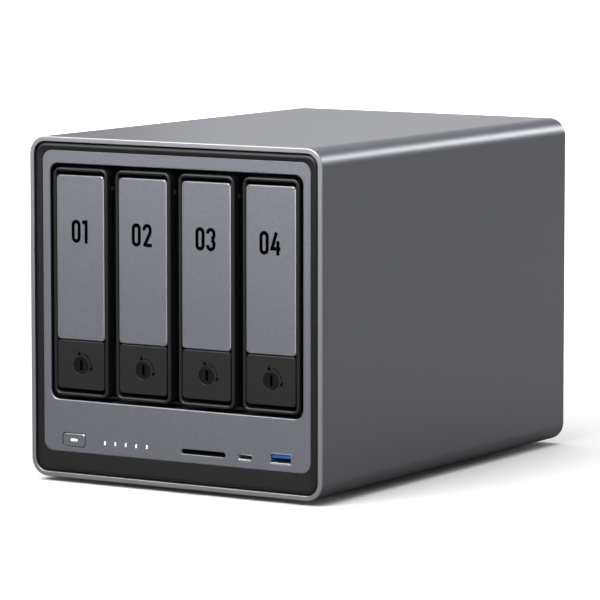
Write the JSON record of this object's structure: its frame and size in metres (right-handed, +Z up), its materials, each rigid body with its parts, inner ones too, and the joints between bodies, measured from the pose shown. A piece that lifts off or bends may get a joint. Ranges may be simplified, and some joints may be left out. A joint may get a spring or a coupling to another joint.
{
  "type": "network storage enclosure",
  "caption": "Desktop network storage enclosure: metal sleeve, lockable pull-out drive trays, front controls and sockets, rear fan with a magnetic filter.",
  "frame": {"origin": "middle of the footprint, at the height of the feet's undersides", "axes": "+Z up, -Y out of the front with the trays, +X to the right seen from the front"},
  "size_m": [0.178, 0.257, 0.1805],
  "materials": {
    "anodised_aluminium": "fine bead-blasted grey anodising",
    "face_aluminium": "fine bead-blasted grey anodising with a bright cut edge",
    "tray_aluminium": "fine bead-blasted grey anodising with a bright cut edge",
    "button_aluminium": "bead-blasted grey anodising with a bright cut edge",
    "dark_steel": "fine-textured black powder coat",
    "zinc_steel": "zinc-plated sheet",
    "sink_aluminium": "extruded, plain",
    "black_screw": "black zinc",
    "brass": "turned",
    "port_metal": "bright nickel plate",
    "foot_rubber": "matt",
    "black_frame": "satin, finely moulded",
    "tray_plastic": "satin, finely moulded",
    "latch_plastic": "satin, finely moulded",
    "lock_plastic": "satin",
    "socket_black": "moulded",
    "black_nylon": "moulded",
    "fan_plastic": "moulded",
    "grey_plastic": "moulded",
    "blue_plastic": "moulded",
    "white_light": "clear light pipe, lit white",
    "circuit_board": "green solder mask",
    "mesh_fabric": "fine nylon mesh"
  },
  "bodies": {
    "root": {"outer_shell": "anodised_aluminium", "bottom_cover": "dark_steel", "bottom_screws": "black_screw", "feet": "foot_rubber", "front_frame": "black_frame", "face_plate": "face_aluminium", "status_lights": "white_light", "front_board": "circuit_board", "card_reader": "socket_black", "usb_c_port": "port_metal", "usb_a_port": "port_metal", "usb_a_tongue": "blue_plastic", "drive_cage": "zinc_steel", "tray_guides": "black_nylon", "backplane": "circuit_board", "drive_sockets": "socket_black", "main_board": "circuit_board", "board_standoffs": "brass", "heat_sink": "sink_aluminium", "memory_sockets": "socket_black", "memory_module": "circuit_board", "power_supply": "zinc_steel", "power_inlet": "socket_black", "rear_panel": "dark_steel", "fan_frame": "fan_plastic", "rear_screws": "black_screw", "network_ports": "port_metal", "video_port": "port_metal", "rear_usb_ports": "port_metal"},
    "power_button": {"power_button": "button_aluminium", "power_light": "white_light"},
    "reset_button": {"reset_button": "grey_plastic"},
    "fan": {"fan_rotor": "fan_plastic"},
    "dust_filter": {"filter_frame": "fan_plastic", "filter_mesh": "mesh_fabric"},
    "tray_1": {"tray_1_carrier": "tray_plastic", "tray_1_ring": "tray_plastic"},
    "handle_1": {"tray_1_handle": "tray_plastic", "tray_1_face": "tray_aluminium"},
    "latch_1": {"tray_1_latch": "latch_plastic"},
    "lock_1": {"tray_1_lock": "lock_plastic"},
    "tray_2": {"tray_2_carrier": "tray_plastic", "tray_2_ring": "tray_plastic"},
    "handle_2": {"tray_2_handle": "tray_plastic", "tray_2_face": "tray_aluminium"},
    "latch_2": {"tray_2_latch": "latch_plastic"},
    "lock_2": {"tray_2_lock": "lock_plastic"},
    "tray_3": {"tray_3_carrier": "tray_plastic", "tray_3_ring": "tray_plastic"},
    "handle_3": {"tray_3_handle": "tray_plastic", "tray_3_face": "tray_aluminium"},
    "latch_3": {"tray_3_latch": "latch_plastic"},
    "lock_3": {"tray_3_lock": "lock_plastic"},
    "tray_4": {"tray_4_carrier": "tray_plastic", "tray_4_ring": "tray_plastic"},
    "handle_4": {"tray_4_handle": "tray_plastic", "tray_4_face": "tray_aluminium"},
    "latch_4": {"tray_4_latch": "latch_plastic"},
    "lock_4": {"tray_4_lock": "lock_plastic"}
  },
  "joints": [
    {"name": "tray_1_slide", "type": "slide", "parent": "root", "child": "tray_1", "axis": [0, -1, 0], "range_m": [0, 0.175]},
    {"name": "handle_1_swing", "type": "hinge", "parent": "tray_1", "child": "handle_1", "pos_m": [-0.05813, -0.1221, 0.1543], "axis": [-1, 0, 0], "range_deg": [0, 55]},
    {"name": "latch_1_push", "type": "slide", "parent": "tray_1", "child": "latch_1", "axis": [0, 1, 0], "range_m": [0, 0.002], "stiffness_N_per_m": 400, "springref_m": -0.002},
    {"name": "lock_1_turn", "type": "hinge", "parent": "latch_1", "child": "lock_1", "pos_m": [-0.05813, -0.12745, 0.0619], "axis": [0, 1, 0], "range_deg": [0, 90]},
    {"name": "tray_2_slide", "type": "slide", "parent": "root", "child": "tray_2", "axis": [0, -1, 0], "range_m": [0, 0.175]},
    {"name": "handle_2_swing", "type": "hinge", "parent": "tray_2", "child": "handle_2", "pos_m": [-0.01937, -0.1221, 0.1543], "axis": [-1, 0, 0], "range_deg": [0, 55]},
    {"name": "latch_2_push", "type": "slide", "parent": "tray_2", "child": "latch_2", "axis": [0, 1, 0], "range_m": [0, 0.002], "stiffness_N_per_m": 400, "springref_m": -0.002},
    {"name": "lock_2_turn", "type": "hinge", "parent": "latch_2", "child": "lock_2", "pos_m": [-0.01937, -0.12745, 0.0619], "axis": [0, 1, 0], "range_deg": [0, 90]},
    {"name": "tray_3_slide", "type": "slide", "parent": "root", "child": "tray_3", "axis": [0, -1, 0], "range_m": [0, 0.175]},
    {"name": "handle_3_swing", "type": "hinge", "parent": "tray_3", "child": "handle_3", "pos_m": [0.01937, -0.1221, 0.1543], "axis": [-1, 0, 0], "range_deg": [0, 55]},
    {"name": "latch_3_push", "type": "slide", "parent": "tray_3", "child": "latch_3", "axis": [0, 1, 0], "range_m": [0, 0.002], "stiffness_N_per_m": 400, "springref_m": -0.002},
    {"name": "lock_3_turn", "type": "hinge", "parent": "latch_3", "child": "lock_3", "pos_m": [0.01937, -0.12745, 0.0619], "axis": [0, 1, 0], "range_deg": [0, 90]},
    {"name": "tray_4_slide", "type": "slide", "parent": "root", "child": "tray_4", "axis": [0, -1, 0], "range_m": [0, 0.175]},
    {"name": "handle_4_swing", "type": "hinge", "parent": "tray_4", "child": "handle_4", "pos_m": [0.05813, -0.1221, 0.1543], "axis": [-1, 0, 0], "range_deg": [0, 55]},
    {"name": "latch_4_push", "type": "slide", "parent": "tray_4", "child": "latch_4", "axis": [0, 1, 0], "range_m": [0, 0.002], "stiffness_N_per_m": 400, "springref_m": -0.002},
    {"name": "lock_4_turn", "type": "hinge", "parent": "latch_4", "child": "lock_4", "pos_m": [0.05813, -0.12745, 0.0619], "axis": [0, 1, 0], "range_deg": [0, 90]},
    {"name": "power_button_push", "type": "slide", "parent": "root", "child": "power_button", "axis": [0, 1, 0], "range_m": [0, 0.0008], "stiffness_N_per_m": 1200, "springref_m": -0.001},
    {"name": "reset_button_push", "type": "slide", "parent": "root", "child": "reset_button", "axis": [0, -1, 0], "range_m": [0, 0.0005], "stiffness_N_per_m": 800, "springref_m": -0.001},
    {"name": "fan_spin", "type": "hinge", "parent": "root", "child": "fan", "pos_m": [0, 0.112, 0.1075], "axis": [0, 1, 0], "continuous": true},
    {"name": "filter_pull", "type": "slide", "parent": "root", "child": "dust_filter", "axis": [0, 1, 0], "range_m": [0, 0.03]}
  ]
}
